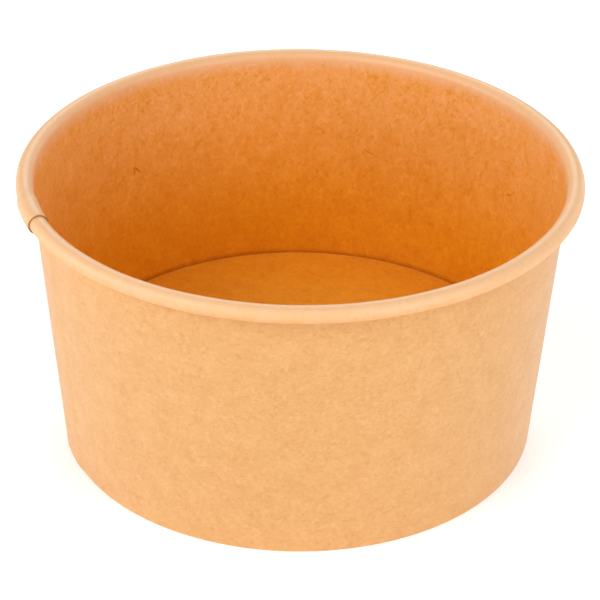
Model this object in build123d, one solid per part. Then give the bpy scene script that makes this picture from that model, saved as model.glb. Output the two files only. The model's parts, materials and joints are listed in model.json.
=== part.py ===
from build123d import *
import math
import os

# A round paper tub in two pieces: a conical side wall rolled out at the rim, wrapped from one
# blank whose ends overlap in a glued seam, and a base disc whose turned-down skirt is glued
# between the wall and the hem folded in at its foot.
# Millimetres. The origin is the middle of the foot, +Z up, and the front faces -Y.

# Overall sizes
RIM_DIAMETER = 115.0        # outside of the rolled rim
HEIGHT = 60.3               # foot to the top of the roll
BASE_DIAMETER = 98.8        # outside of the wall, carried straight down to the foot
FLOOR_HEIGHT = 12.2         # foot to the upper face of the base disc

# Board
WALL_BOARD = 0.33
BASE_BOARD = 0.30
GLUE_LINE = 0.02            # between the skirt and the board on each side of it

# Rolled rim
ROLL_DIAMETER = 3.5
ROLL_TUCK = 190.0           # degrees that the board goes on past the bottom of the roll
TUCK_CLEARANCE = 0.05       # between two turns of the roll where the seam doubles them

# Foot
HEM_HEIGHT = 9.0            # foot to the free edge of the folded-in hem
FOLD_RADIUS = 0.06          # lining side of the fold
SKIRT_CLEARANCE = 0.10      # between the skirt's edge and the thickest part of the fold
BASE_CORNER_RADIUS = 0.8    # upper side of the base disc, where it turns down into the skirt

# Side seam
SEAM_ANGLE = 203.7          # degrees from +X to the blank's inside edge, which shows on the roll
SEAM_OVERLAP = 9.0          # measured round the rim, like the two lengths below
SEAM_EASE = 4.0             # over which a layer eases on to the other one and off it
EASE_STEP = 2.0             # one straight facet of that easing
SEAM_SHOULDER = 8.0         # below the roll's middle, where the doubled wall starts to lean in

# Worked out from the sizes above
rim_radius = RIM_DIAMETER / 2
roll_radius = ROLL_DIAMETER / 2
roll_centre = (rim_radius - roll_radius, HEIGHT - roll_radius)
tuck_radius = roll_radius - 2 * WALL_BOARD - TUCK_CLEARANCE
tuck_centre = (roll_centre[0], HEIGHT - ROLL_DIAMETER + tuck_radius)
skirt_slot = BASE_BOARD + 2 * GLUE_LINE


def steepness(x, z, radius):
    """Degrees above level of the line from a point to the roll's circle, passing inside it."""
    across = roll_centre[0] - x
    up = roll_centre[1] - z
    return math.degrees(math.atan2(up, across) + math.asin(radius / math.hypot(across, up)))


# The wall's lining line touches the roll's circle. Its lean is from the vertical.
lean = 90 - steepness(BASE_DIAMETER / 2 - WALL_BOARD, 0, roll_radius)
rise = math.tan(math.radians(lean))
level = 1 / math.cos(math.radians(lean))
foot_radius = BASE_DIAMETER / 2 - WALL_BOARD * level


def on_wall(z, offset):
    """The point of the wall at a height, a distance outside its lining face."""
    return (foot_radius + offset * level + z * rise, z)


def board_face(at_wall, at_roll, lift):
    """One face of the board from the hem's free edge to the end in the roll, as edges.

    at_wall and at_roll are its distances from the lining face to the printed side, and lift
    raises the fold.
    """
    fold_z = WALL_BOARD + FOLD_RADIUS + lift
    fold_centre = on_wall(fold_z, FOLD_RADIUS - skirt_slot)
    inner = CenterArc(fold_centre, FOLD_RADIUS + at_wall, 180 - lean, 90 + lean)
    outer = CenterArc(on_wall(fold_z, -FOLD_RADIUS), FOLD_RADIUS + at_wall, 270, 90 - lean)
    shoulder = on_wall(roll_centre[1] - SEAM_SHOULDER, at_wall)
    climb = steepness(*shoulder, roll_radius - at_roll)
    roll = CenterArc(roll_centre, roll_radius - at_roll, climb + 90, -climb - 180)
    tuck = CenterArc(tuck_centre, tuck_radius - at_roll, -90, -ROLL_TUCK)
    return [
        Line(on_wall(HEM_HEIGHT, -skirt_slot - at_wall), inner @ 0),
        inner,
        Line(inner @ 1, outer @ 0),
        outer,
        Line(outer @ 1, shoulder),
        Line(shoulder, roll @ 0),
        roll,
        tuck,
    ]


def section(lining, printed, lift, angle):
    """The board's cut at an angle round the tub, between two faces given as (at wall, at roll)."""
    inside = board_face(*lining, lift)
    outside = board_face(*printed, lift)
    ends = [Line(inside[0] @ 0, outside[0] @ 0), Line(inside[-1] @ 1, outside[-1] @ 1)]
    turn = math.radians(angle)
    upright = Plane(
        origin=(0, 0, 0),
        x_dir=(math.cos(turn), math.sin(turn), 0),
        z_dir=(math.sin(turn), -math.cos(turn), 0),
    )
    return upright * make_face([*inside, *outside, *ends]).face()


def blend(pair, end, share):
    """A pair of numbers part of the way to another pair."""
    return [a + (b - a) * share for a, b in zip(pair, end)]


def eased(start, end, start_angle, end_angle):
    """The board easing from one (lining, printed, lift) to another between two angles."""
    steps = max(1, round(math.radians(end_angle - start_angle) * rim_radius / EASE_STEP))
    sections = []
    for step in range(steps + 1):
        share = step / steps
        lining = blend(start[0], end[0], share)
        printed = blend(start[1], end[1], share)
        lift = start[2] + (end[2] - start[2]) * share
        sections.append(section(lining, printed, lift, start_angle + (end_angle - start_angle) * share))
    return loft(sections, ruled=True)


def make_side_wall():
    """The wrapped blank: hem, fold, wall and roll in one piece of board, doubled at the seam.

    One end of the blank lies outside the other. On the roll, the end that was inside is on
    top, so it stands proud there, and its cut edge shows.
    """
    board = WALL_BOARD
    single = ((0, 0), (board, board), 0)
    riding_up = ((0, -board), (board, 0), board)
    coming_off = ((board, 0), (2 * board, board), board)
    overlap = math.degrees(SEAM_OVERLAP / rim_radius)
    ease = math.degrees(SEAM_EASE / rim_radius)
    outside_edge = SEAM_ANGLE - overlap
    plain_start = SEAM_ANGLE + ease
    plain = revolve(section(*single, plain_start), Axis.Z, 360 - overlap - 2 * ease)
    doubled = revolve(section((0, -board), (2 * board, board), board, outside_edge), Axis.Z, overlap)
    climbing = eased(single, riding_up, outside_edge - ease, outside_edge)
    settling = eased(coming_off, single, SEAM_ANGLE, plain_start)
    return plain + climbing + doubled + settling


def make_base_disc():
    """The floor and its skirt, which stands in the slot between the wall and the hem."""
    skirt_foot = 2 * WALL_BOARD + SKIRT_CLEARANCE
    outer = -GLUE_LINE
    inner = outer - BASE_BOARD
    under_floor = FLOOR_HEIGHT - BASE_BOARD
    top_corner = on_wall(FLOOR_HEIGHT, outer)
    under_corner = on_wall(under_floor, inner)
    outline = Polyline(
        (0, FLOOR_HEIGHT),
        top_corner,
        on_wall(skirt_foot, outer),
        on_wall(skirt_foot, inner),
        under_corner,
        (0, under_floor),
        close=True,
    )
    cut = make_face(outline)
    top_vertex = cut.vertices().sort_by_distance(top_corner)[0]
    cut = fillet(top_vertex, BASE_CORNER_RADIUS)
    under_vertex = cut.vertices().sort_by_distance(under_corner)[0]
    cut = fillet(under_vertex, BASE_CORNER_RADIUS - BASE_BOARD)
    return revolve(Plane.XZ * cut, Axis.Z)


os.makedirs("parts", exist_ok=True)
export_step(make_side_wall(), "parts/side_wall.step")
export_step(make_base_disc(), "parts/base_disc.step")
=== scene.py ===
import json
import math

import bmesh
import bpy
from bpy.props import FloatProperty, FloatVectorProperty, IntProperty, PointerProperty
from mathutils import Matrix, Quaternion, Vector


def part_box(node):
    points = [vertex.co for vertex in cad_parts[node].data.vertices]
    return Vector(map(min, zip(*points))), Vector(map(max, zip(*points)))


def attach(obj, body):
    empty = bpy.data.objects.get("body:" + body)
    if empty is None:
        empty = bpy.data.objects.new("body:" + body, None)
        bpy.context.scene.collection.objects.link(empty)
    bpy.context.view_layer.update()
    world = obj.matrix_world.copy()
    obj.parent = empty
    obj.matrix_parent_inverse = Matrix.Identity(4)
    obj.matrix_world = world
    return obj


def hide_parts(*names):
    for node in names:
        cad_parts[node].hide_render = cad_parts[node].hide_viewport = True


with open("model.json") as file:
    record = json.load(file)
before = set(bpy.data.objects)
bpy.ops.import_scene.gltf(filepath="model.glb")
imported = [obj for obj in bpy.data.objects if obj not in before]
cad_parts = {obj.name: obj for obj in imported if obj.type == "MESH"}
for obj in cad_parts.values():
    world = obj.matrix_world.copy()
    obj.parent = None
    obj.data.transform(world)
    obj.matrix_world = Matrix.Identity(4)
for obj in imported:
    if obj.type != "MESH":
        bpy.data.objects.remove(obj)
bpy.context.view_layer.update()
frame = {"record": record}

bl_info = {
    "name": "Kraft paper tub",
    "version": (1, 0, 0),
    "blender": (4, 5, 0),
    "location": "3D View > Sidebar > Tub",
    "description": "Makes a round kraft board tub with a rolled rim, a lapped seam and a glued-in base",
    "category": "Add Mesh",
}

# What the frame says, in metres
MOUNTS = {mount["name"]: mount for mount in frame["record"]["mounts"]}
RIM_RADIUS = MOUNTS["lid_rim"]["dims"]["r_mm"] / 1000
ROLL_RADIUS = MOUNTS["lid_rim"]["dims"]["length_mm"] / 2000
RIM_HEIGHT = MOUNTS["lid_rim"]["pos_m"][2]
FLOOR_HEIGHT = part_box("base_disc")[1][2]
FLOOR_EDGE_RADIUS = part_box("base_disc")[1][0]

# The board's own sizes, which the frame's boxes don't give
WALL_FOOT_RADIUS = 0.0494
WALL_BOARD = 0.00033
BASE_BOARD = 0.00030
GLUE_LINE = 0.00002
FOLD_RADIUS = 0.00006
HEM_HEIGHT = 0.009
SKIRT_CLEARANCE = 0.0001
BASE_CORNER_RADIUS = 0.0008
TUCK_CLEARANCE = 0.00005
TUCK_TURN = math.radians(190)
SEAM_ANGLE = math.radians(203.7)
SEAM_OVERLAP = 0.009
SEAM_EASE = 0.004
SEAM_SHOULDER = 0.008
SEAM_GLUE = 0.00001

# Faces along each stretch of the board, from the hem's free edge to the end inside the roll
HEM_ROWS, FOLD_ROWS, WALL_ROWS, ROLL_ROWS, TUCK_ROWS = 4, 6, 40, 30, 12
# and from the middle of the base to the skirt's edge
FLOOR_ROWS, CORNER_ROWS, SKIRT_ROWS = 24, 6, 6
# Faces round the tub
OVERLAP_COLUMNS, EASE_COLUMNS, ROUND_COLUMNS = 8, 8, 252
BASE_COLUMNS = 240
MERGE_DISTANCE = 1e-6

# The sockets of a Mix node that is set to colour
MIX_FACTOR, MIX_A, MIX_B, MIX_RESULT = 0, 6, 7, 2

# The waves by which the board strays from its true shape: the noise's scale on a circle of radius 1 for
# the wall and the roll, and per metre up the wall and over the floor
WALL_WAVE_SCALE, ROLL_WAVE_SCALE = 2.6, 9.0
WAVE_RISE, FLOOR_WAVE_SCALE = 40.0, 45.0
WAVE_DETAIL, FLOOR_WAVE_DETAIL = 1.5, 1.0
WAVE_SEED_STEP, FLOOR_SEED_STEP = 3.7, 1.3
FLAT_SHARE = 0.7                # of the floor's radius, past which its waves fade
HEM_LIFT_HEIGHT = 0.005         # up to which the doubled seam is raised on its fold

# Where the coated side's colours meet, up from the floor or down from the top of the roll: the painted
# shade in the corner, the painted shade low in the tub and painted light high on the wall, the roll's paler
# top and the painted shade on its low outer side
CORNER_SHADE_RISE, SHADED_DEEP_RISE = 0.0009, 0.006
LIT_HIGH_DROP = 0.002
STRETCH_START_DROP, STRETCH_FULL_DROP = 0.0046, 0.0008
# how far down the roll, and how far in from its outer side, the painted shade on its low outer side reaches
ROLL_SHADE_DROP = 0.0028
ROLL_SHADE_SHARE = 0.4           # of the roll's radius, in from its outer side
STRETCH_FADE = 0.85             # how much of the texture is lost on the roll
# where the floor's painted light at its middle gives way to painted shade near its corner
FLOOR_MIDDLE_SHARE, FLOOR_EDGE_SHARE = 0.5, 0.95     # of the foot's radius

# How much a lighter or darker spot of the board changes its red, green and blue
BARE_TINT = (0.57, 0.97, 1.85)
LINING_TINT = (0.57, 1.4, 5.5)

# The board's texture, on coordinates in millimetres
CLOUD = {"scale": 0.19, "detail": 3.5, "roughness": 0.9}
GRAIN = {"scale": 3.2, "detail": 3.0, "roughness": 0.65}
PALE_FIBRES = (
    {"shift": (0.0, 0.0, 0.0), "scale": 0.62, "curl": 2.2, "width": 0.075, "cover": 0.48},
    {"shift": (23.0, 71.0, 0.0), "scale": 0.95, "curl": 1.6, "width": 0.085, "cover": 0.53},
)
DARK_FIBRES = (
    {"shift": (41.0, 17.0, 0.0), "scale": 0.58, "curl": 2.4, "width": 0.075, "cover": 0.5},
    {"shift": (67.0, 5.0, 0.0), "scale": 1.0, "curl": 1.6, "width": 0.085, "cover": 0.55},
)
COVER_SHIFT = (13.0, 7.0, 3.0)
COVER_SCALE, COVER_FADE, CURL_SCALE = 1.3, 0.1, 0.6
FLECK_SCALE, FLECK_CORE, FLECK_FADE = 0.6, 0.4, 0.5
SPECK = {"shift": (0.0, 0.0, 0.0), "turn": 1.2, "stretch": 0.7, "size": 0.11, "share": 0.3}
GLINT = {"shift": (11.0, 3.0, 0.0), "turn": 0.3, "stretch": 0.7, "size": 0.10, "share": 0.3}
HAIRS = (
    {"shift": (0.0, 0.0, 0.0), "turn": 0.5, "stretch": 0.16, "size": 0.09, "share": 0.008},
    {"shift": (5.0, 9.0, 0.0), "turn": 1.9, "stretch": 0.16, "size": 0.09, "share": 0.008},
)
HAIR_SWAY, HAIR_SWAY_SCALE = 2.5, 0.5

# How strongly each part of the texture shows in the tone, in the bump's height and in the gloss
CLOUD_TONE, FIBRE_TONE, GLINT_TONE, SPECK_TONE, HAIR_TONE = 0.46, 0.10, 0.14, 0.15, 0.4
GRAIN_BUMP, PALE_BUMP, DARK_BUMP, TONE_BUMP = 0.45, 0.25, 0.15, 0.5
TONE_GLOSS = 0.3

# Places on the texture, in millimetres, so that no two faces show the same part of it
LINING_SHIFT = (0.0, 0.0, 0.0)
OUTER_SHIFT = (300.0, 150.0, 0.0)
FLOOR_SHIFT = (70.0, 640.0, 0.0)
UNDER_SHIFT = (910.0, 20.0, 0.0)

# The cut edge's layers
LAYER_SCALE, LAYER_DETAIL = 9000.0, 2.0
LAYER_SHADE = 0.6


class Signal:
    """A node's output. Python's operators on it add Math and Vector Math nodes."""

    def __init__(self, graph, socket):
        self.graph = graph
        self.socket = socket

    @property
    def is_vector(self):
        return self.socket.type in ("VECTOR", "RGBA")

    def join(self, operation, first, second):
        pair = (first, second)
        if not any(isinstance(one, Signal) and one.is_vector for one in pair):
            return self.graph.value("ShaderNodeMath", {"operation": operation}, {0: first, 1: second})
        if operation == "MULTIPLY" and not self.both_vectors(pair):
            vector, number = pair if self.wide(first) else (second, first)
            scaled = {0: vector, "Scale": number}
            return self.graph.value("ShaderNodeVectorMath", {"operation": "SCALE"}, scaled)
        return self.graph.value("ShaderNodeVectorMath", {"operation": operation}, {0: first, 1: second})

    @staticmethod
    def wide(one):
        return one.is_vector if isinstance(one, Signal) else isinstance(one, tuple)

    def both_vectors(self, pair):
        return all(self.wide(one) for one in pair)

    def __add__(self, other):
        return self.join("ADD", self, other)

    def __radd__(self, other):
        return self.join("ADD", other, self)

    def __sub__(self, other):
        return self.join("SUBTRACT", self, other)

    def __rsub__(self, other):
        return self.join("SUBTRACT", other, self)

    def __mul__(self, other):
        return self.join("MULTIPLY", self, other)

    def __rmul__(self, other):
        return self.join("MULTIPLY", other, self)

    def __truediv__(self, other):
        return self.join("DIVIDE", self, other)

    def __rtruediv__(self, other):
        return self.join("DIVIDE", other, self)

    def __neg__(self):
        return self.join("MULTIPLY", self, -1.0)

    def apply(self, operation, *others):
        """One Math node of any operation, with this as its first value."""
        values = dict(enumerate((self, *others)))
        return self.graph.value("ShaderNodeMath", {"operation": operation}, values)


class Graph:
    """Adds nodes to one shader or geometry tree."""

    def __init__(self, tree):
        self.tree = tree

    def node(self, kind, settings=None, inputs=None):
        """A node of a type, with its settings set first, and then the values or links of its sockets."""
        made = self.tree.nodes.new(kind)
        for name, value in (settings or {}).items():
            setattr(made, name, value)
        for name, value in (inputs or {}).items():
            if isinstance(value, Signal):
                self.tree.links.new(value.socket, made.inputs[name])
            else:
                made.inputs[name].default_value = value
        return made

    def value(self, kind, settings=None, inputs=None, output=0):
        """The same node's output, as a Signal."""
        return Signal(self, self.node(kind, settings, inputs).outputs[output])

    def smooth(self, value, low, high, start=0.0, end=1.0):
        """Runs smoothly from start to end as the value goes from low to high."""
        return self.value(
            "ShaderNodeMapRange",
            {"interpolation_type": "SMOOTHSTEP"},
            {"Value": value, "From Min": low, "From Max": high, "To Min": start, "To Max": end},
        )

    def part_way(self, counter, first, count):
        """0 before the first row of a stretch, 1 after its last, and the share of it between."""
        settings = {"operation": "DIVIDE", "use_clamp": True}
        return self.value("ShaderNodeMath", settings, {0: counter - first, 1: float(count)})

    def vector(self, x=0.0, y=0.0, z=0.0):
        return self.value("ShaderNodeCombineXYZ", None, {"X": x, "Y": y, "Z": z})

    def noise(self, vector, scale, detail, roughness=0.5, output="Fac"):
        inputs = {"Vector": vector, "Scale": scale, "Detail": detail, "Roughness": roughness}
        return self.value("ShaderNodeTexNoise", {"noise_dimensions": "3D"}, inputs, output)

    def sway(self, vector, scale, detail):
        """A smooth vector of noise, about 0."""
        return self.noise(vector, scale, detail, output="Color") - (0.5, 0.5, 0.5)

    def mix(self, factor, first, second):
        """The first colour where the factor is 0, and the second where it is 1."""
        settings = {"data_type": "RGBA"}
        inputs = {MIX_FACTOR: factor, MIX_A: first, MIX_B: second}
        return self.value("ShaderNodeMix", settings, inputs, MIX_RESULT)


# Sizes and colours that a user would change


class TubSizes(bpy.types.PropertyGroup):
    rim_radius: FloatProperty(
        name="Rim radius", description="Outside of the rolled rim",
        default=RIM_RADIUS, min=0.01, subtype="DISTANCE", unit="LENGTH")
    rim_height: FloatProperty(
        name="Height", description="Foot to the top of the roll",
        default=RIM_HEIGHT, min=0.01, subtype="DISTANCE", unit="LENGTH")
    foot_radius: FloatProperty(
        name="Foot radius", description="Outside of the wall at the foot",
        default=WALL_FOOT_RADIUS, min=0.01, subtype="DISTANCE", unit="LENGTH")
    roll_radius: FloatProperty(
        name="Roll radius", description="Half the thickness of the rolled rim",
        default=ROLL_RADIUS, min=0.0005, subtype="DISTANCE", unit="LENGTH")
    floor_height: FloatProperty(
        name="Floor height", description="Foot to the upper face of the base",
        default=FLOOR_HEIGHT, min=0.001, subtype="DISTANCE", unit="LENGTH")
    wall_board: FloatProperty(
        name="Wall board", description="Thickness of the wall's board",
        default=WALL_BOARD, min=0.0001, subtype="DISTANCE", unit="LENGTH")
    base_board: FloatProperty(
        name="Base board", description="Thickness of the base's board",
        default=BASE_BOARD, min=0.0001, subtype="DISTANCE", unit="LENGTH")
    wall_waves: FloatProperty(
        name="Wall waves", description="How far the wall strays from a true cone near the rim",
        default=0.00012, min=0.0, subtype="DISTANCE", unit="LENGTH")
    roll_waves: FloatProperty(
        name="Roll waves", description="How uneven the roll is",
        default=0.00005, min=0.0, subtype="DISTANCE", unit="LENGTH")
    floor_waves: FloatProperty(
        name="Floor waves", description="How far the base strays from flat",
        default=0.00012, min=0.0, subtype="DISTANCE", unit="LENGTH")
    rim_drift: FloatProperty(
        name="Rim drift", description="How far the rim stands off centre, to the right",
        default=0.0002, subtype="DISTANCE", unit="LENGTH")
    seed: IntProperty(name="Seed", description="Another set of waves", default=7, min=0)


class TubColours(bpy.types.PropertyGroup):
    printed: FloatVectorProperty(
        name="Outside", description="The wall's bare outer side",
        subtype="COLOR", size=3, min=0.0, max=1.0, default=(0.68, 0.343, 0.113))
    roll_top: FloatVectorProperty(
        name="Roll, top", description="The coated side where it is stretched over the top of the roll",
        subtype="COLOR", size=3, min=0.0, max=1.0, default=(0.86, 0.50, 0.25))
    # painted shade: the roll darker on its low outer side
    roll_shaded_side: FloatVectorProperty(
        name="Roll, side", description="The coated side low on the roll",
        subtype="COLOR", size=3, min=0.0, max=1.0, default=(0.76, 0.42, 0.20))
    # painted light: the inner wall paler high up, where more light falls
    lining_lit_high: FloatVectorProperty(
        name="Inside, high", description="The wall's coated inner side near the rim",
        subtype="COLOR", size=3, min=0.0, max=1.0, default=(0.84, 0.375, 0.088))
    # painted shade: the inner wall deeper towards the floor, down in the tub's shade
    lining_shaded_deep: FloatVectorProperty(
        name="Inside, deep", description="The wall's coated inner side near the floor",
        subtype="COLOR", size=3, min=0.0, max=1.0, default=(0.815, 0.31, 0.004))
    # painted shade: the coated side darkened in the corner between the wall and the floor, where shade
    # falls
    corner_shade: FloatVectorProperty(
        name="Corner", description="The coated side down in the corner between the wall and the floor",
        subtype="COLOR", size=3, min=0.0, max=1.0, default=(0.68, 0.22, 0.0))
    # painted light: the floor paler at its middle
    floor_lit_middle: FloatVectorProperty(
        name="Floor, middle", description="The coated upper side of the base at its middle",
        subtype="COLOR", size=3, min=0.0, max=1.0, default=(0.94, 0.40, 0.018))
    # painted shade: the floor deeper near its corner
    floor_shaded_edge: FloatVectorProperty(
        name="Floor, edge", description="The coated upper side of the base near its corner",
        subtype="COLOR", size=3, min=0.0, max=1.0, default=(0.90, 0.35, 0.003))
    cut_edge: FloatVectorProperty(
        name="Cut edge", description="The board where it is cut",
        subtype="COLOR", size=3, min=0.0, max=1.0, default=(0.52, 0.24, 0.09))


class StageSettings(bpy.types.PropertyGroup):
    surface: FloatVectorProperty(
        name="Surface", description="What the tub stands on",
        subtype="COLOR", size=3, min=0.0, max=1.0, default=(0.93, 0.93, 0.93))
    sky: FloatProperty(
        name="Surroundings", description="Strength of the even light from all round",
        default=0.25, min=0.0)
    glow: FloatVectorProperty(
        name="Surface glow", description="The light that the surface gives off by itself",
        subtype="COLOR", size=3, min=0.0, default=(0.28, 0.30, 0.32))
    power: FloatProperty(
        name="Light power", description="Power of a light of strength 1 in the list of softboxes",
        default=1.0, min=0.0, subtype="POWER", unit="POWER")


# The board's path, as geometry nodes


def add_inputs(tree, wanted):
    """Named number inputs on a geometry tree."""
    tree.interface.new_socket("Geometry", in_out="OUTPUT", socket_type="NodeSocketGeometry")
    for name, value in wanted.items():
        kind = "NodeSocketInt" if isinstance(value, int) else "NodeSocketFloat"
        tree.interface.new_socket(name, in_out="INPUT", socket_type=kind)


def straight(rows, length):
    """A straight stretch of the path."""
    return {"rows": rows, "length": length}


def bend(rows, radius, turn):
    """A round stretch. It turns left where the turn is positive, and the radius takes the turn's sign."""
    return {"rows": rows, "radius": radius, "turn": turn}


def follow(graph, row, start, heading, stretches):
    """Where a row lies along a path of stretches: (outwards, up, heading, distance)."""
    outwards, up = start
    distance = 0.0
    facing = heading
    first = 0
    for stretch in stretches:
        share = graph.part_way(row, float(first), stretch["rows"])
        first += stretch["rows"]
        if "length" in stretch:
            run = share * stretch["length"]
            outwards = outwards + run * heading.apply("COSINE")
            up = up + run * heading.apply("SINE")
            distance = run + distance
            continue
        radius = stretch["radius"]
        turned = share * stretch["turn"]
        angle = heading + turned
        outwards = outwards + (angle.apply("SINE") - heading.apply("SINE")) * radius
        up = up + (heading.apply("COSINE") - angle.apply("COSINE")) * radius
        distance = turned * radius + distance
        facing = facing + turned
        heading = heading + stretch["turn"]
    return outwards, up, facing, distance


def spread(graph, counter, stretches):
    """An angle that grows by each stretch's size over its number of columns."""
    angle = 0.0
    first = 0
    for columns, size in stretches:
        angle = graph.part_way(counter, float(first), columns) * size + angle
        first += columns
    return angle


def board_sheet(graph, columns, rows):
    """A closed sheet of that many faces. Returns its geometry, and the counters and masks on it."""
    inputs = {
        "Size X": float(columns),
        "Size Y": float(rows),
        "Vertices X": columns + 1,
        "Vertices Y": rows + 1,
    }
    flat = graph.value("GeometryNodeMeshGrid", None, inputs, "Mesh")
    place = graph.value("GeometryNodeInputPosition")
    apart = graph.node("ShaderNodeSeparateXYZ", None, {0: place})
    for name, output, middle in (("column", "X", columns / 2), ("row", "Y", rows / 2)):
        counter = Signal(graph, apart.outputs[output]) + middle
        flat = store(graph, flat, name, counter.apply("ROUND"))
    doubled = {"Mesh": flat, "Offset Scale": 0.0, "Individual": False}
    lifted = graph.node("GeometryNodeExtrudeMesh", {"mode": "FACES"}, doubled)
    back = Signal(graph, lifted.outputs["Top"])
    edge = Signal(graph, lifted.outputs["Side"])
    front = graph.value("GeometryNodeFlipFaces", None, {"Mesh": flat})
    joint = graph.node("GeometryNodeJoinGeometry")
    graph.tree.links.new(lifted.outputs["Mesh"], joint.inputs[0])
    graph.tree.links.new(front.socket, joint.inputs[0])
    sheet = store(graph, Signal(graph, joint.outputs[0]), "back", back)
    return sheet, back, edge


def store(graph, geometry, name, value, data_type="FLOAT", domain="POINT"):
    """The same geometry with a named attribute on it."""
    settings = {"data_type": data_type, "domain": domain}
    inputs = {"Geometry": geometry, "Name": name, "Value": value}
    return graph.value("GeometryNodeStoreNamedAttribute", settings, inputs)


def stored(graph, name):
    """A named number attribute's value."""
    settings = {"data_type": "FLOAT"}
    return graph.value("GeometryNodeInputNamedAttribute", settings, {"Name": name}, "Attribute")


def finish_sheet(graph, sheet, around, distance, radius, outwards, up, angle, drift, edge, back, materials):
    """Rolls the sheet up to its place, closes it and gives it its finishes."""
    flat_place = graph.vector(around * radius, distance)
    sheet = store(graph, sheet, "UVMap", flat_place, "FLOAT2", "CORNER")
    place = graph.vector(outwards * angle.apply("COSINE") + drift, outwards * angle.apply("SINE"), up)
    sheet = graph.value("GeometryNodeSetPosition", None, {"Geometry": sheet, "Position": place})
    near_points = {"Geometry": sheet, "Distance": MERGE_DISTANCE}
    sheet = graph.value("GeometryNodeMergeByDistance", None, near_points)
    sheet = graph.value("GeometryNodeSetShadeSmooth", None, {"Geometry": sheet, "Shade Smooth": True})
    flat_edges = {"Geometry": sheet, "Selection": edge, "Shade Smooth": False}
    sheet = graph.value("GeometryNodeSetShadeSmooth", None, flat_edges)
    sheet = graph.value("GeometryNodeRealizeInstances", None, {"Geometry": sheet})
    front_material, back_material, edge_material = materials
    for selection, material in ((True, front_material), (back, back_material), (edge, edge_material)):
        inputs = {"Geometry": sheet, "Selection": selection, "Material": material}
        sheet = graph.value("GeometryNodeSetMaterial", None, inputs)
    output = graph.node("NodeGroupOutput")
    graph.tree.links.new(sheet.socket, output.inputs[0])


def wall_lean(rim, height, roll, foot, board):
    """The wall's lean from the vertical, so that its lining line touches the roll's circle."""
    across = rim - roll - foot + board
    up = height - roll
    reach = (across * across + up * up).apply("SQRT")
    climb = up.apply("ARCTAN2", across) + (roll / reach).apply("ARCSINE")
    return math.pi / 2 - climb


def stray(graph, angle, up, scale, seed):
    """Smooth noise between -0.5 and 0.5 that closes on itself round the tub."""
    level = up * WAVE_RISE + seed * WAVE_SEED_STEP
    spot = graph.vector(angle.apply("COSINE") * scale, angle.apply("SINE") * scale, level)
    return graph.noise(spot, 1.0, WAVE_DETAIL) - 0.5


def side_wall_tree(values, materials):
    """One blank rolled into the wall: hem, fold, wall, roll and tuck, its two ends overlapping."""
    tree = bpy.data.node_groups.new("Wrapped side wall", "GeometryNodeTree")
    add_inputs(tree, values)
    graph = Graph(tree)
    source = graph.node("NodeGroupInput")
    given = {name: Signal(graph, source.outputs[name]) for name in values}
    rim, height, foot = given["Rim radius"], given["Height"], given["Foot radius"]
    roll, board = given["Roll radius"], given["Board"]
    slot, fold = given["Skirt slot"], given["Fold radius"]
    overlap, ease = given["Overlap angle"], given["Ease angle"]

    rows = HEM_ROWS + 2 * FOLD_ROWS + 1 + WALL_ROWS + ROLL_ROWS + TUCK_ROWS
    columns = 2 * (OVERLAP_COLUMNS + EASE_COLUMNS) + ROUND_COLUMNS
    sheet, back, edge = board_sheet(graph, columns, rows)
    around = spread(graph, stored(graph, "column"), [
        (OVERLAP_COLUMNS, overlap),
        (EASE_COLUMNS, ease),
        (ROUND_COLUMNS, math.tau - overlap - ease * 2.0),
        (EASE_COLUMNS, ease),
        (OVERLAP_COLUMNS, overlap),
    ])

    lean = wall_lean(rim, height, roll, foot, board)
    sine, cosine, rise = lean.apply("SINE"), lean.apply("COSINE"), lean.apply("TANGENT")
    lining_foot = foot - board / cosine
    fold_up = board + fold
    roll_up = height - roll
    hem = given["Hem height"]
    hem_start = (lining_foot - slot / cosine + hem * rise, hem)
    stretches = [
        straight(HEM_ROWS, (hem - fold_up - fold * sine) / cosine),
        bend(FOLD_ROWS, fold, lean + math.pi / 2),
        straight(1, (slot - fold * 2.0) / cosine),
        bend(FOLD_ROWS, fold, math.pi / 2 - lean),
        straight(WALL_ROWS, (roll_up - fold_up + (roll + fold) * sine) / cosine),
        bend(ROLL_ROWS, -roll, lean - 1.5 * math.pi),
        bend(TUCK_ROWS, -(roll - board * 2.0 - given["Tuck clearance"]), -given["Tuck turn"]),
    ]
    hem_heading = -lean - math.pi / 2
    outwards, up, facing, distance = follow(graph, stored(graph, "row"), hem_start, hem_heading, stretches)
    wall_top = (hem - fold_up + roll_up - fold_up) / cosine + slot

    layer = board + given["Seam glue"]
    under = graph.smooth(around, overlap, overlap + ease, 1.0, 0.0)
    over = graph.smooth(around, math.tau - ease, math.tau)
    in_roll = graph.smooth(distance, wall_top - given["Shoulder"], wall_top)
    offset = layer * under * (1.0 - in_roll) - layer * over * in_roll
    offset = offset + stored(graph, "back") * board
    angle = around + given["Seam angle"] - overlap
    seed = given["Seed"]
    offset = offset + in_roll * given["Roll waves"] * stray(graph, angle, up, ROLL_WAVE_SCALE, seed) * 2.0
    outwards = outwards + facing.apply("SINE") * offset
    level = up - facing.apply("COSINE") * offset

    on_fold = graph.smooth(up, fold_up, HEM_LIFT_HEIGHT, 1.0, 0.0)
    lift = layer * under.apply("MAXIMUM", over) * on_fold
    share_up = up / height
    waves = given["Wall waves"] * share_up * stray(graph, angle, up, WALL_WAVE_SCALE, seed + 1.0) * 2.0
    outwards = outwards + waves + lift * rise
    finish_sheet(
        graph, sheet, around, distance, foot, outwards, level + lift, angle,
        given["Rim drift"] * share_up, edge, back, materials)
    return tree


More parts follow.
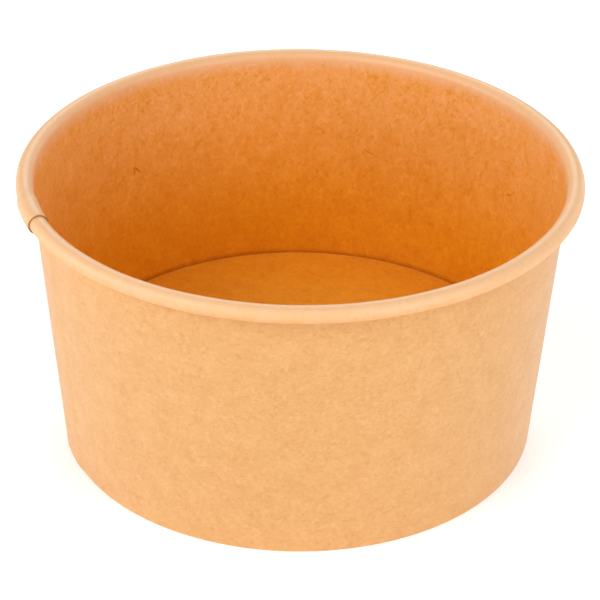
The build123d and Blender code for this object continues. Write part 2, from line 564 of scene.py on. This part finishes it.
def base_disc_tree(values, materials):
    """The base: a floor that turns down at a round corner into a leaning skirt."""
    tree = bpy.data.node_groups.new("Drawn base", "GeometryNodeTree")
    add_inputs(tree, values)
    graph = Graph(tree)
    source = graph.node("NodeGroupInput")
    given = {name: Signal(graph, source.outputs[name]) for name in values}
    rim, height, foot = given["Rim radius"], given["Height"], given["Foot radius"]
    wall_board, board, glue = given["Wall board"], given["Board"], given["Glue line"]
    floor_up, corner = given["Floor height"], given["Corner radius"]

    rows = FLOOR_ROWS + CORNER_ROWS + SKIRT_ROWS
    sheet, back, edge = board_sheet(graph, BASE_COLUMNS, rows)
    inner_edge = edge * stored(graph, "row").apply("LESS_THAN", rows - 0.25)
    cleared = {"Geometry": sheet, "Selection": inner_edge}
    sheet = graph.value("GeometryNodeDeleteGeometry", {"domain": "FACE", "mode": "ALL"}, cleared)
    around = spread(graph, stored(graph, "column"), [(BASE_COLUMNS, math.tau)])

    lean = wall_lean(rim, height, given["Roll radius"], foot, wall_board)
    cosine, rise = lean.apply("COSINE"), lean.apply("TANGENT")
    corner_out = foot - (wall_board + glue + corner) / cosine + (floor_up - corner) * rise
    skirt_top = floor_up - corner - corner * lean.apply("SINE")
    skirt_foot = wall_board * 2.0 + given["Skirt clearance"]
    stretches = [
        straight(FLOOR_ROWS, corner_out),
        bend(CORNER_ROWS, -corner, -lean - math.pi / 2),
        straight(SKIRT_ROWS, (skirt_top - skirt_foot) / cosine),
    ]
    level_heading = lean * 0.0
    middle = (0.0, floor_up)
    outwards, up, facing, distance = follow(graph, stored(graph, "row"), middle, level_heading, stretches)
    offset = stored(graph, "back") * board
    outwards = outwards + facing.apply("SINE") * offset
    in_floor = graph.smooth(distance, corner_out * FLAT_SHARE, corner_out, 1.0, 0.0)
    drawn = given["Seed"] * FLOOR_SEED_STEP
    spot = graph.vector(outwards * around.apply("COSINE"), outwards * around.apply("SINE"), drawn)
    ripple = graph.noise(spot, FLOOR_WAVE_SCALE, FLOOR_WAVE_DETAIL) - 0.5
    waves = given["Floor waves"] * in_floor * ripple * 2.0
    up = up - facing.apply("COSINE") * offset + waves
    drift = given["Rim drift"] * up / height
    finish_sheet(
        graph, sheet, around, distance, outwards, outwards, up, around, drift, edge, back, materials)
    return tree


def made_by_nodes(name, tree, values):
    """The tree's result as a plain mesh object at the origin."""
    seedling = bpy.data.objects.new(name + "_nodes", bpy.data.meshes.new(name + "_nodes"))
    bpy.context.collection.objects.link(seedling)
    modifier = seedling.modifiers.new("Board", "NODES")
    modifier.node_group = tree
    for item in tree.interface.items_tree:
        if item.item_type == "SOCKET" and item.in_out == "INPUT":
            modifier[item.identifier] = values[item.name]
    evaluated = seedling.evaluated_get(bpy.context.evaluated_depsgraph_get())
    mesh = bpy.data.meshes.new_from_object(evaluated)
    bpy.data.objects.remove(seedling)
    mesh.name = name
    piece = bpy.data.objects.new(name, mesh)
    bpy.context.collection.objects.link(piece)
    require_closed(piece)
    return piece


def require_closed(piece):
    """Raises an error unless every edge of the piece has two faces."""
    shell = bmesh.new()
    shell.from_mesh(piece.data)
    open_edges = sum(len(edge.link_faces) != 2 for edge in shell.edges)
    volume = shell.calc_volume(signed=True)
    shell.free()
    if open_edges or volume <= 0:
        raise RuntimeError(f"{piece.name} has {open_edges} open edges and a volume of {volume:.2e}")


# Finishes


def sheet_millimetres(shift):
    """The board's own flat coordinates in millimetres, moved so that two sheets differ."""
    return lambda graph: graph.value("ShaderNodeUVMap", {"uv_map": "UVMap"}) * 1000.0 + shift


def place_millimetres(shift):
    """The place in space in millimetres, for a sheet that lies flat."""
    return lambda graph: graph.value("ShaderNodeTexCoord", None, None, "Object") * 1000.0 + shift


def strands(graph, spot, shift, scale, curl, width, cover):
    """Thin curly lines, 1 on a fibre and 0 between, kept where a second noise is high."""
    spot = spot + shift
    bent = spot + graph.sway(spot, scale * CURL_SCALE, 1.0) * curl
    field = graph.noise(bent, scale, 0.0)
    line = graph.smooth((field - 0.5).apply("ABSOLUTE"), 0.0, width, 1.0, 0.0)
    kept = graph.noise(spot + COVER_SHIFT, scale * COVER_SCALE, 0.0)
    return line * graph.smooth(kept, cover, cover + COVER_FADE)


def bits(graph, spot, shift, turn, stretch, size, share):
    """Small marks lying one way: a few of the cells of a pattern, stretched along X."""
    placed = {"Vector": spot + shift, "Rotation": (0.0, 0.0, turn), "Scale": (stretch, 1.0, 1.0)}
    rotated = graph.value("ShaderNodeMapping", None, placed)
    settings = {"feature": "F1", "voronoi_dimensions": "2D"}
    cells = graph.node("ShaderNodeTexVoronoi", settings, {"Vector": rotated, "Scale": FLECK_SCALE})
    near = graph.smooth(Signal(graph, cells.outputs["Distance"]), size * FLECK_CORE, size, 1.0, 0.0)
    chance = graph.value("ShaderNodeSeparateColor", None, {0: Signal(graph, cells.outputs["Color"])})
    return near * graph.smooth(chance, 1.0 - share, 1.0 - share * FLECK_FADE)


def either(kind, graph, spot, pair):
    """Two patterns of one kind over one another."""
    first, second = (kind(graph, spot, **sizes) for sizes in pair)
    return first.apply("MAXIMUM", second)


def board_tone(graph, spot):
    """(tone, pale fibres, dark fibres) at a spot. The tone, about 0, is how much lighter or darker the
    board is, from its cloud, fibres, specks and a few hairs."""
    cloud = graph.noise(spot, **CLOUD) - 0.5
    pale = either(strands, graph, spot, PALE_FIBRES)
    dark = either(strands, graph, spot, DARK_FIBRES)
    speck = bits(graph, spot, **SPECK)
    glint = bits(graph, spot, **GLINT)
    hair = either(bits, graph, spot + graph.sway(spot, HAIR_SWAY_SCALE, 0.0) * HAIR_SWAY, HAIRS)
    fibres = pale * FIBRE_TONE - dark * FIBRE_TONE
    flecks = glint * GLINT_TONE - speck * SPECK_TONE - hair * HAIR_TONE
    return cloud * CLOUD_TONE + fibres + flecks, pale, dark


def kraft_finish(name, body_colour, tint, spot_of, roughness, coat=0.0, sheen=0.0, stretch=1.0):
    """Unbleached board. body_colour gives its colour and how strong the tone is, tint the tone's red,
    green and blue, and spot_of the place on the texture, which stretch squeezes along the second axis."""
    material = bpy.data.materials.new(name)
    material.use_nodes = True
    material.node_tree.nodes.clear()
    graph = Graph(material.node_tree)
    spot = spot_of(graph) * (1.0, stretch, 1.0)
    tone, pale, dark = board_tone(graph, spot)
    body, strength = body_colour(graph)
    tone = tone * strength
    colour = body * (graph.vector(*(tone * share for share in tint)) + (1.0, 1.0, 1.0))
    grain = graph.noise(spot, **GRAIN)
    height = grain * GRAIN_BUMP + pale * PALE_BUMP - dark * DARK_BUMP + tone * TONE_BUMP
    bump = graph.value("ShaderNodeBump", None, {"Strength": 0.35, "Distance": 0.00004, "Height": height})
    shader = graph.node("ShaderNodeBsdfPrincipled", None, {
        "Base Color": colour,
        "Roughness": roughness - tone * TONE_GLOSS,
        "Normal": bump,
        "Specular IOR Level": 0.35,
        "Coat Weight": coat,
        "Coat Roughness": 0.4,
        "Sheen Weight": sheen,
        "Sheen Roughness": 0.5,
    })
    output = graph.node("ShaderNodeOutputMaterial")
    graph.tree.links.new(shader.outputs[0], output.inputs["Surface"])
    return material


def tub_place(graph):
    """(distance from the tub's middle line, height), in metres."""
    place = graph.value("ShaderNodeTexCoord", None, None, "Object")
    apart = graph.node("ShaderNodeSeparateXYZ", None, {0: place})
    flat = place * (1.0, 1.0, 0.0)
    out = graph.value("ShaderNodeVectorMath", {"operation": "LENGTH"}, {0: flat}, "Value")
    return out, Signal(graph, apart.outputs["Z"])


def lining_colour(corner_shade, deep, high, roll_shaded_side, roll_top):
    """The wall's coated side: painted shade makes it deeper low in the tub and in the corner above the
    floor, painted light paler high up, and it is pale where it is stretched over the roll, with painted
    shade on the roll's low outer side.
    """
    def body(graph):
        out, up = tub_place(graph)
        # painted shade deeper low in the tub and painted light paler high on the wall
        climb = graph.smooth(up, FLOOR_HEIGHT + SHADED_DEEP_RISE, RIM_HEIGHT - LIT_HIGH_DROP)
        wall = graph.mix(climb, rgba(deep), rgba(high))
        # painted shade in the corner, just above the floor
        clear = graph.smooth(up, FLOOR_HEIGHT, FLOOR_HEIGHT + CORNER_SHADE_RISE)
        wall = graph.mix(clear, rgba(corner_shade), wall)
        # painted shade on the roll's low outer side
        outer = graph.smooth(out, RIM_RADIUS - ROLL_RADIUS, RIM_RADIUS - ROLL_RADIUS * ROLL_SHADE_SHARE)
        low = graph.smooth(up, RIM_HEIGHT - ROLL_SHADE_DROP, RIM_HEIGHT, 1.0, 0.0)
        roll = graph.mix(low * outer, rgba(roll_top), rgba(roll_shaded_side))
        stretched = graph.smooth(up, RIM_HEIGHT - STRETCH_START_DROP, RIM_HEIGHT - STRETCH_FULL_DROP)
        return graph.mix(stretched, wall, roll), 1.0 - stretched * STRETCH_FADE
    return body


def floor_colour(corner_shade, edge, middle):
    """The base's coated side, with painted light paler at its middle and painted shade deeper towards its
    corner.
    """
    def body(graph):
        out = tub_place(graph)[0]
        # painted light paler at the floor's middle, painted shade deeper near its corner
        share = graph.smooth(
            out, WALL_FOOT_RADIUS * FLOOR_MIDDLE_SHARE, WALL_FOOT_RADIUS * FLOOR_EDGE_SHARE)
        flat = graph.mix(share, rgba(middle), rgba(edge))
        # painted shade in the floor's corner against the wall
        corner = graph.smooth(out, FLOOR_EDGE_RADIUS - BASE_CORNER_RADIUS, FLOOR_EDGE_RADIUS)
        return graph.mix(corner, flat, rgba(corner_shade)), 1.0
    return body


def plain_colour(colour):
    """One colour all over."""
    return lambda graph: (tuple(colour), 1.0)


def cut_edge_finish(name, colour):
    """The raw edge of the board: layers of fibre in section."""
    material = bpy.data.materials.new(name)
    material.use_nodes = True
    material.node_tree.nodes.clear()
    graph = Graph(material.node_tree)
    place = graph.value("ShaderNodeTexCoord", None, None, "Object")
    layers = graph.noise(place, LAYER_SCALE, LAYER_DETAIL)
    deep = rgba(channel * LAYER_SHADE for channel in colour[:3])
    body = graph.mix(layers, deep, colour)
    shader = graph.node("ShaderNodeBsdfPrincipled", None, {
        "Base Color": body,
        "Roughness": layers * 0.2 + 0.75,
        "Specular IOR Level": 0.2,
    })
    output = graph.node("ShaderNodeOutputMaterial")
    graph.tree.links.new(shader.outputs[0], output.inputs["Surface"])
    return material


def rgba(colour):
    """The colour, opaque."""
    return (*colour, 1.0)


def ride_as(piece, node):
    """Hangs a finished piece on the root body and hides the part of the model that it replaces."""
    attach(piece, "root")
    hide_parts(node)


# Operators


class TUB_OT_side_wall(bpy.types.Operator):
    """Makes the side wall from one blank, with its hem, roll and overlapping seam"""

    bl_idname = "tub.side_wall"
    bl_label = "Side wall"

    def execute(self, context):
        sizes, colours = context.scene.tub_sizes, context.scene.tub_colours
        values = {
            "Rim radius": sizes.rim_radius,
            "Height": sizes.rim_height,
            "Foot radius": sizes.foot_radius,
            "Roll radius": sizes.roll_radius,
            "Board": sizes.wall_board,
            "Skirt slot": sizes.base_board + 2 * GLUE_LINE,
            "Fold radius": FOLD_RADIUS,
            "Hem height": HEM_HEIGHT,
            "Tuck clearance": TUCK_CLEARANCE,
            "Tuck turn": TUCK_TURN,
            "Seam angle": SEAM_ANGLE,
            "Overlap angle": SEAM_OVERLAP / sizes.rim_radius,
            "Ease angle": SEAM_EASE / sizes.rim_radius,
            "Seam glue": SEAM_GLUE,
            "Shoulder": SEAM_SHOULDER,
            "Wall waves": sizes.wall_waves,
            "Roll waves": sizes.roll_waves,
            "Rim drift": sizes.rim_drift,
            "Seed": sizes.seed,
        }
        inside = lining_colour(
            colours.corner_shade, colours.lining_shaded_deep, colours.lining_lit_high, colours.roll_shaded_side, colours.roll_top)
        outside = plain_colour(colours.printed)
        materials = (
            kraft_finish(
                "kraft_lining_side", inside, LINING_TINT, sheet_millimetres(LINING_SHIFT),
                roughness=0.5, coat=0.25, stretch=0.7),
            kraft_finish(
                "kraft_outer_side", outside, BARE_TINT, sheet_millimetres(OUTER_SHIFT),
                roughness=0.65, sheen=0.3),
            cut_edge_finish("kraft_cut_edge", rgba(colours.cut_edge)),
        )
        piece = made_by_nodes("wrapped_side_wall", side_wall_tree(values, materials), values)
        ride_as(piece, "side_wall")
        return {"FINISHED"}


class TUB_OT_base_disc(bpy.types.Operator):
    """Makes the base with its turned-down skirt"""

    bl_idname = "tub.base_disc"
    bl_label = "Base"

    def execute(self, context):
        sizes, colours = context.scene.tub_sizes, context.scene.tub_colours
        values = {
            "Rim radius": sizes.rim_radius,
            "Height": sizes.rim_height,
            "Foot radius": sizes.foot_radius,
            "Roll radius": sizes.roll_radius,
            "Wall board": sizes.wall_board,
            "Board": sizes.base_board,
            "Glue line": GLUE_LINE,
            "Floor height": sizes.floor_height,
            "Corner radius": BASE_CORNER_RADIUS,
            "Skirt clearance": SKIRT_CLEARANCE,
            "Floor waves": sizes.floor_waves,
            "Rim drift": sizes.rim_drift,
            "Seed": sizes.seed,
        }
        above = floor_colour(colours.corner_shade, colours.floor_shaded_edge, colours.floor_lit_middle)
        below = plain_colour(colours.printed)
        materials = (
            kraft_finish(
                "kraft_floor_side", above, LINING_TINT, place_millimetres(FLOOR_SHIFT),
                roughness=0.5, coat=0.3, sheen=0.1),
            kraft_finish(
                "kraft_under_side", below, BARE_TINT, place_millimetres(UNDER_SHIFT),
                roughness=0.7, sheen=0.3),
            cut_edge_finish("kraft_skirt_edge", rgba(colours.cut_edge)),
        )
        piece = made_by_nodes("drawn_base_disc", base_disc_tree(values, materials), values)
        ride_as(piece, "base_disc")
        return {"FINISHED"}


# The stage

VIEW_ELEVATION = math.radians(30.6)
VIEW_DISTANCE = 0.5145
VIEW_TARGET = Vector((0.0003, 0.0, 0.0287))
VIEW_ROLL = math.radians(0.46)
LENS = 147.7
NEAREST_SEEN = 0.01
SURFACE_SIZE = 20.0
SOFTBOX_SIZE = 0.6
SOFTBOX_DISTANCE = 1.0
# Name, azimuth from +X and elevation in degrees, and strength
SOFTBOXES = (
    ("left", 180, 15, 3.6),
    ("front_left", 225, 35, 4.2),
    ("front_right", 315, 15, 3.9),
    ("front_right_high", 315, 55, 1.9),
    ("back_right", 45, 15, 1.4),
    ("back", 90, 35, 3.3),
)


def aim(thing, place, target, roll=0.0):
    """Puts a light or camera at a place, looking at a target."""
    thing.location = place
    thing.rotation_mode = "QUATERNION"
    towards = (target - place).to_track_quat("-Z", "Y")
    thing.rotation_quaternion = towards @ Quaternion((0.0, 0.0, 1.0), roll)
    bpy.context.collection.objects.link(thing)


def softbox(name, azimuth, elevation, power):
    """A large round light that faces the tub."""
    lamp = bpy.data.lights.new(name, "AREA")
    lamp.shape = "DISK"
    lamp.size = SOFTBOX_SIZE
    lamp.energy = power
    light = bpy.data.objects.new(name, lamp)
    light.visible_camera = False
    level = math.cos(elevation)
    direction = Vector((level * math.cos(azimuth), level * math.sin(azimuth), math.sin(elevation)))
    aim(light, direction * SOFTBOX_DISTANCE, Vector((0.0, 0.0, RIM_HEIGHT / 2)))


class TUB_OT_stage(bpy.types.Operator):
    """Makes the pale surface, the soft lights and the camera"""

    bl_idname = "tub.stage"
    bl_label = "Stage"

    def execute(self, context):
        settings = context.scene.tub_stage
        self.lay_surface(rgba(settings.surface), rgba(settings.glow))
        self.light_room(settings)
        camera = bpy.data.objects.new("camera", bpy.data.cameras.new("camera"))
        camera.data.lens = LENS
        camera.data.clip_start = NEAREST_SEEN
        direction = Vector((0.0, -math.cos(VIEW_ELEVATION), math.sin(VIEW_ELEVATION)))
        aim(camera, VIEW_TARGET + direction * VIEW_DISTANCE, VIEW_TARGET, VIEW_ROLL)
        context.scene.camera = camera
        context.scene.view_settings.view_transform = "Standard"
        return {"FINISHED"}

    def lay_surface(self, colour, glow):
        """The wide pale sheet that the tub stands on."""
        mesh = bpy.data.meshes.new("table_top")
        shape = bmesh.new()
        bmesh.ops.create_grid(shape, x_segments=1, y_segments=1, size=SURFACE_SIZE / 2)
        shape.to_mesh(mesh)
        shape.free()
        material = bpy.data.materials.new("pale_surface")
        material.use_nodes = True
        material.node_tree.nodes.clear()
        graph = Graph(material.node_tree)
        shader = graph.node("ShaderNodeBsdfPrincipled", None, {
            "Base Color": colour,
            "Roughness": 1.0,
            "Specular IOR Level": 0.0,
            "Emission Color": glow,
            "Emission Strength": 1.0,
        })
        output = graph.node("ShaderNodeOutputMaterial")
        graph.tree.links.new(shader.outputs[0], output.inputs["Surface"])
        mesh.materials.append(material)
        surface = bpy.data.objects.new("table_top", mesh)
        bpy.context.collection.objects.link(surface)

    def light_room(self, settings):
        """An even pale light from all round, and the softboxes."""
        world = bpy.data.worlds.new("studio")
        world.use_nodes = True
        even_light = world.node_tree.nodes["Background"].inputs
        even_light["Color"].default_value = (1.0, 1.0, 1.0, 1.0)
        even_light["Strength"].default_value = settings.sky
        bpy.context.scene.world = world
        for name, azimuth, elevation, strength in SOFTBOXES:
            softbox(name, math.radians(azimuth), math.radians(elevation), strength * settings.power)


class TUB_PT_panel(bpy.types.Panel):
    """Lists the pieces of the tub and its stage"""

    bl_idname = "TUB_PT_panel"
    bl_label = "Kraft paper tub"
    bl_space_type = "VIEW_3D"
    bl_region_type = "UI"
    bl_category = "Tub"

    def draw(self, context):
        for group in (context.scene.tub_sizes, context.scene.tub_colours, context.scene.tub_stage):
            for name in group.__annotations__:
                self.layout.prop(group, name)
        for operator in OPERATORS:
            self.layout.operator(operator.bl_idname)


OPERATORS = (TUB_OT_side_wall, TUB_OT_base_disc, TUB_OT_stage)
CLASSES = (TubSizes, TubColours, StageSettings, *OPERATORS, TUB_PT_panel)
GROUPS = {"tub_sizes": TubSizes, "tub_colours": TubColours, "tub_stage": StageSettings}


def register():
    for one in CLASSES:
        bpy.utils.register_class(one)
    for name, group in GROUPS.items():
        setattr(bpy.types.Scene, name, PointerProperty(type=group))


def unregister():
    for name in GROUPS:
        delattr(bpy.types.Scene, name)
    for one in reversed(CLASSES):
        bpy.utils.unregister_class(one)


def main():
    register()
    bpy.ops.tub.side_wall()
    bpy.ops.tub.base_disc()
    bpy.ops.tub.stage()


if __name__ == "__main__":
    main()
